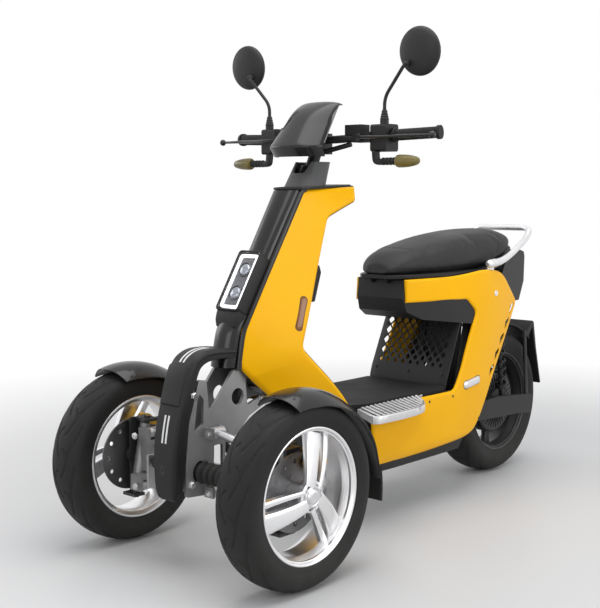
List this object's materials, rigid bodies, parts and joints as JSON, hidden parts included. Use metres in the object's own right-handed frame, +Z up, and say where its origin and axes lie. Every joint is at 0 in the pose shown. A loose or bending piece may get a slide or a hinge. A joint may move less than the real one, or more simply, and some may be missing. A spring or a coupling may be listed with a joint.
{
  "type": "electric tricycle",
  "caption": "Tilting electric tricycle with steered front wheels, step-through floor, long seat over a bin, lever handlebar with mirrors and a driven rear wheel.",
  "frame": {"origin": "middle of the whole box, on the floor", "axes": "+Z up, the front wheels towards -Y, +X the rider's left"},
  "size_m": [0.796, 1.8335, 1.3988],
  "materials": {
    "black_plastic": "moulded, satin",
    "black_gloss": "gloss",
    "yellow_paint": "gloss",
    "grey_plastic": "satin",
    "cast_grey": "cast, satin",
    "frame_paint": "satin",
    "alloy": "polished",
    "steel": "brushed",
    "gold_caliper": "satin",
    "rubber": "matt",
    "tyre": "matt",
    "seat_cover": "grained",
    "rail_silver": "satin",
    "lamp_glass": "clear over dark",
    "red_lens": "smoked red",
    "amber_lens": "smoked amber",
    "mirror_shell": "gloss",
    "screen": "gloss",
    "spring_black": "ribbed"
  },
  "bodies": {
    "body": {"main_frame": "frame_paint", "battery": "grey_plastic", "front_subframe": "cast_grey", "tilt_arms": "cast_grey", "tilt_spring": "spring_black", "uprights": "cast_grey", "column_cover": "black_gloss", "headlight_housing": "black_gloss", "headlight_lens": "lamp_glass", "leg_shields": "yellow_paint", "column_rear_cover": "black_plastic", "neck_cover": "grey_plastic", "front_shield": "black_plastic", "body_sides": "yellow_paint", "floor_mat": "rubber", "belly_pan": "black_plastic", "seat_front_panel": "black_plastic", "foot_plates": "alloy", "pillion_pegs": "alloy", "underseat_bin": "black_plastic", "grab_rail": "rail_silver", "tail_unit": "black_gloss", "tail_light": "red_lens", "swingarm": "frame_paint", "rear_shocks": "spring_black", "rear_fender": "black_plastic"},
    "seat": {"seat_base": "black_plastic", "seat_cushion": "seat_cover"},
    "steering": {"steering_stem": "frame_paint", "handlebar": "frame_paint", "dash_cowl": "black_gloss", "display": "screen", "grips": "rubber", "switch_housings": "black_plastic", "brake_levers": "frame_paint", "mirrors": "mirror_shell", "turn_signals": "amber_lens"},
    "track_rod": {"track_rod": "steel"},
    "knuckle_left": {"knuckle_left": "cast_grey", "caliper_left": "gold_caliper", "front_fender_left": "black_gloss"},
    "knuckle_right": {"knuckle_right": "cast_grey", "caliper_right": "gold_caliper", "front_fender_right": "black_gloss"},
    "front_wheel_left": {"front_rim_left": "alloy", "front_tyre_left": "tyre", "brake_disc_left": "steel"},
    "front_wheel_right": {"front_rim_right": "alloy", "front_tyre_right": "tyre", "brake_disc_right": "steel"},
    "rear_wheel": {"rear_rim": "black_gloss", "rear_tyre": "tyre"}
  },
  "joints": [
    {"name": "steering", "type": "hinge", "parent": "body", "child": "steering", "pos_m": [0, -0.33825, 0.892], "axis": [0, 0.4478, 0.8942], "range_deg": [-30, 30]},
    {"name": "knuckle_left_turn", "type": "hinge", "parent": "body", "child": "knuckle_left", "pos_m": [0.262, -0.68025, 0.2365], "axis": [0, 0.2079, 0.9781], "range_deg": [-30, 30]},
    {"name": "knuckle_right_turn", "type": "hinge", "parent": "body", "child": "knuckle_right", "pos_m": [-0.262, -0.68025, 0.2365], "axis": [0, 0.2079, 0.9781], "range_deg": [-30, 30]},
    {"name": "track_rod_slide", "type": "slide", "parent": "body", "child": "track_rod", "axis": [1, 0, 0], "range_m": [-0.034, 0.034]},
    {"name": "front_wheel_left_spin", "type": "hinge", "parent": "knuckle_left", "child": "front_wheel_left", "pos_m": [0.3135, -0.68025, 0.2365], "axis": [1, 0, 0], "continuous": true},
    {"name": "front_wheel_right_spin", "type": "hinge", "parent": "knuckle_right", "child": "front_wheel_right", "pos_m": [-0.3135, -0.68025, 0.2365], "axis": [1, 0, 0], "continuous": true},
    {"name": "rear_wheel_spin", "type": "hinge", "parent": "body", "child": "rear_wheel", "pos_m": [0, 0.65475, 0.2435], "axis": [1, 0, 0], "continuous": true},
    {"name": "seat_hinge", "type": "hinge", "parent": "body", "child": "seat", "pos_m": [0, 0.04175, 0.706], "axis": [1, 0, 0], "range_deg": [0, 75]}
  ],
  "couplings": [
    {"joint": "knuckle_left_turn", "follows": "steering", "ratio": 1},
    {"joint": "knuckle_right_turn", "follows": "steering", "ratio": 1},
    {"joint": "track_rod_slide", "follows": "steering", "m_per_rad": -0.061}
  ]
}
